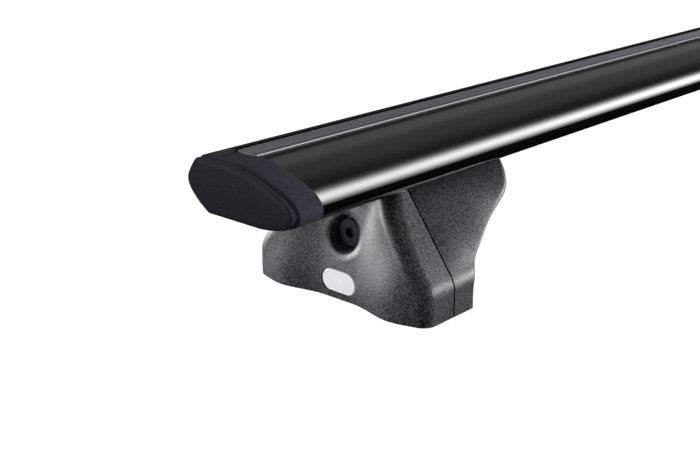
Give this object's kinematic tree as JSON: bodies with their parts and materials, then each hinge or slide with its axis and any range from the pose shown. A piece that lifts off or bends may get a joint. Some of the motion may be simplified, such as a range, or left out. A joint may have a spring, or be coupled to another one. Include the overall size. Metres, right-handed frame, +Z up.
{
  "type": "roof rack crossbar",
  "caption": "Wing-shaped roof rack crossbar with a slotted top, moulded end caps and two clamping feet under plastic covers.",
  "frame": {"origin": "middle of the crossbar on the roof plane under the feet", "axes": "+X along the bar, +Y to the leading edge, +Z up; end a is at -X"},
  "size_m": [1.2244, 0.1306, 0.0951],
  "materials": {
    "bar_gloss_black": "gloss",
    "strip_rubber": "satin",
    "cap_plastic": "satin",
    "cover_plastic": "textured",
    "cast_alloy": "as cast",
    "pad_rubber": "matte",
    "zinc_steel": "zinc plated",
    "black_steel": "satin",
    "badge_white": "gloss",
    "jaw_steel": "zinc plated"
  },
  "bodies": {
    "bar": {"bar_extrusion": "bar_gloss_black", "top_strip": "strip_rubber", "end_cap_a": "cap_plastic", "end_cap_b": "cap_plastic"},
    "foot_a": {"outer_cover_a": "cover_plastic", "inner_cover_a": "cover_plastic", "foot_frame_a": "cast_alloy", "saddle_pad_a": "pad_rubber", "slot_plate_a": "zinc_steel", "bar_bolt_outer_a": "zinc_steel", "bar_bolt_inner_a": "zinc_steel", "screw_washer_a": "zinc_steel", "badge_plate_a": "badge_white", "base_pad_a": "pad_rubber"},
    "screw_a": {"clamp_screw_a": "black_steel"},
    "jaw_a": {"rail_jaw_a": "jaw_steel"},
    "foot_b": {"outer_cover_b": "cover_plastic", "inner_cover_b": "cover_plastic", "foot_frame_b": "cast_alloy", "saddle_pad_b": "pad_rubber", "slot_plate_b": "zinc_steel", "bar_bolt_outer_b": "zinc_steel", "bar_bolt_inner_b": "zinc_steel", "screw_washer_b": "zinc_steel", "badge_plate_b": "badge_white", "base_pad_b": "pad_rubber"},
    "screw_b": {"clamp_screw_b": "black_steel"},
    "jaw_b": {"rail_jaw_b": "jaw_steel"}
  },
  "joints": [
    {"name": "foot_a_slide", "type": "slide", "parent": "bar", "child": "foot_a", "axis": [1, 0, 0], "range_m": [-0.02, 0.12]},
    {"name": "screw_a_turn", "type": "hinge", "parent": "foot_a", "child": "screw_a", "pos_m": [-0.5266, 0, 0.0379], "axis": [1, 0, 0], "range_deg": [-1012, 436]},
    {"name": "jaw_a_slide", "type": "slide", "parent": "foot_a", "child": "jaw_a", "axis": [1, 0, 0], "range_m": [-0.0015, 0.0035]},
    {"name": "foot_b_slide", "type": "slide", "parent": "bar", "child": "foot_b", "axis": [-1, 0, 0], "range_m": [-0.02, 0.12]},
    {"name": "screw_b_turn", "type": "hinge", "parent": "foot_b", "child": "screw_b", "pos_m": [0.5266, 0, 0.0379], "axis": [-1, 0, 0], "range_deg": [-1012, 436]},
    {"name": "jaw_b_slide", "type": "slide", "parent": "foot_b", "child": "jaw_b", "axis": [-1, 0, 0], "range_m": [-0.0015, 0.0035]}
  ],
  "couplings": [
    {"joint": "screw_a_turn", "follows": "jaw_a_slide", "rad_per_m": -5026.5},
    {"joint": "screw_b_turn", "follows": "jaw_b_slide", "rad_per_m": -5026.5}
  ]
}
